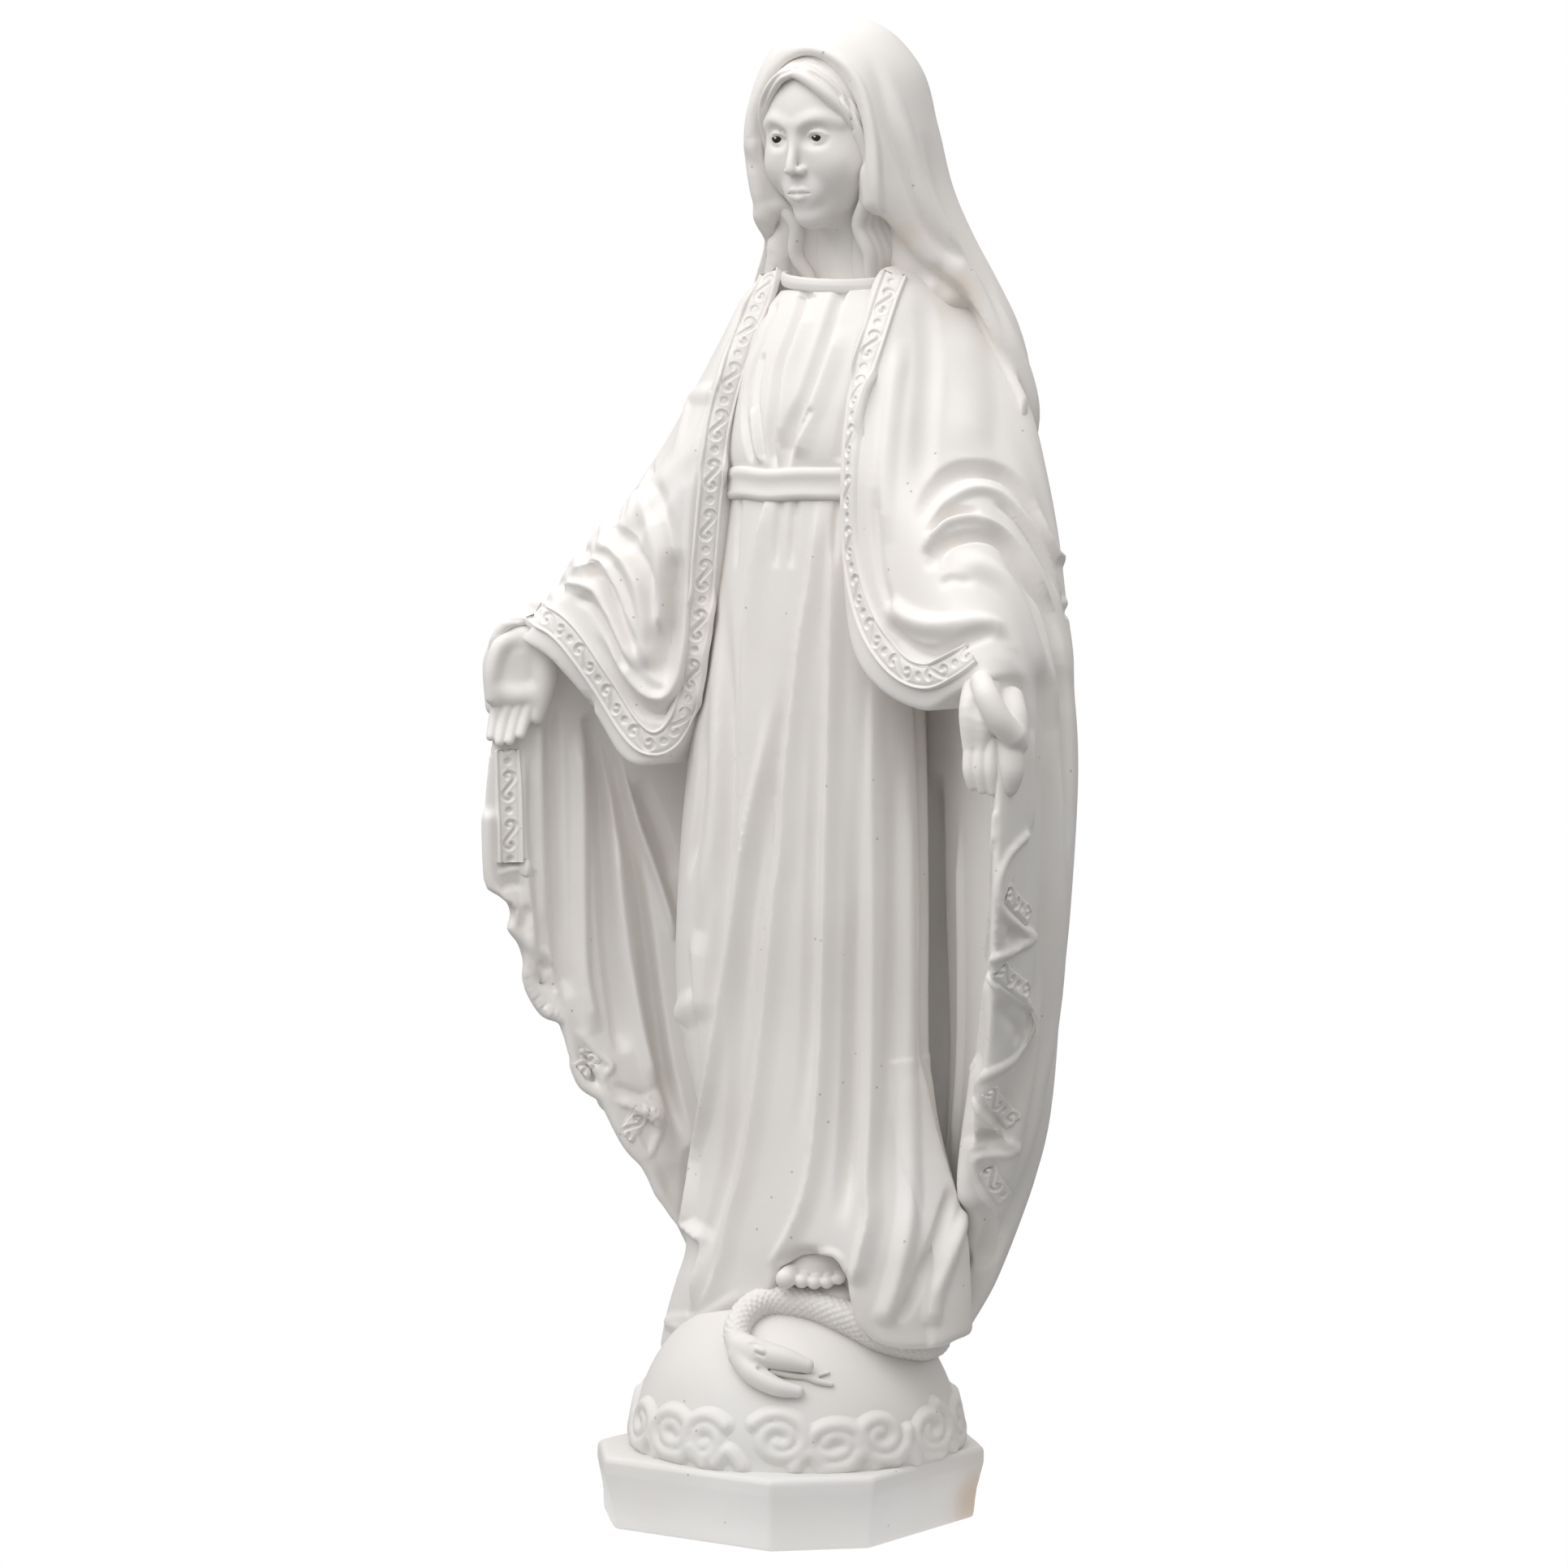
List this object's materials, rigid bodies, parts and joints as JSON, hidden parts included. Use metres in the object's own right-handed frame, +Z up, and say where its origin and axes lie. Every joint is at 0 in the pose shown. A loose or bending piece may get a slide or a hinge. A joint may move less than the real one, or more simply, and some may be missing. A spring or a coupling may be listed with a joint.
{
  "type": "madonna statue",
  "caption": "Standing veiled woman in a draped, bordered mantle, hands held low and open, on a half globe with a serpent and an octagonal plinth.",
  "frame": {"origin": "middle of the plinth's underside", "axes": "+Z up along the figure, the figure faces -Y, its left hand is at +X"},
  "size_m": [0.1321, 0.0702, 0.3],
  "materials": {
    "cast_stone": "matt bonded marble, white",
    "eye_paint": "gloss painted"
  },
  "bodies": {
    "root": {"plinth": "cast_stone", "globe": "cast_stone", "cloud_scrolls": "cast_stone", "serpent": "cast_stone", "serpent_tongue": "cast_stone", "figure_dowel": "cast_stone", "foot": "cast_stone", "gown_skirt": "cast_stone", "belt": "cast_stone", "gown_bodice": "cast_stone", "collar": "cast_stone", "head": "cast_stone", "hair": "cast_stone", "eyes": "eye_paint", "veil": "cast_stone", "mantle_back": "cast_stone", "mantle_left_front": "cast_stone", "mantle_right_front": "cast_stone", "mantle_left_fall": "cast_stone", "mantle_right_fall": "cast_stone", "left_border": "cast_stone", "right_border": "cast_stone", "left_hand": "cast_stone", "right_hand": "cast_stone"}
  },
  "joints": []
}
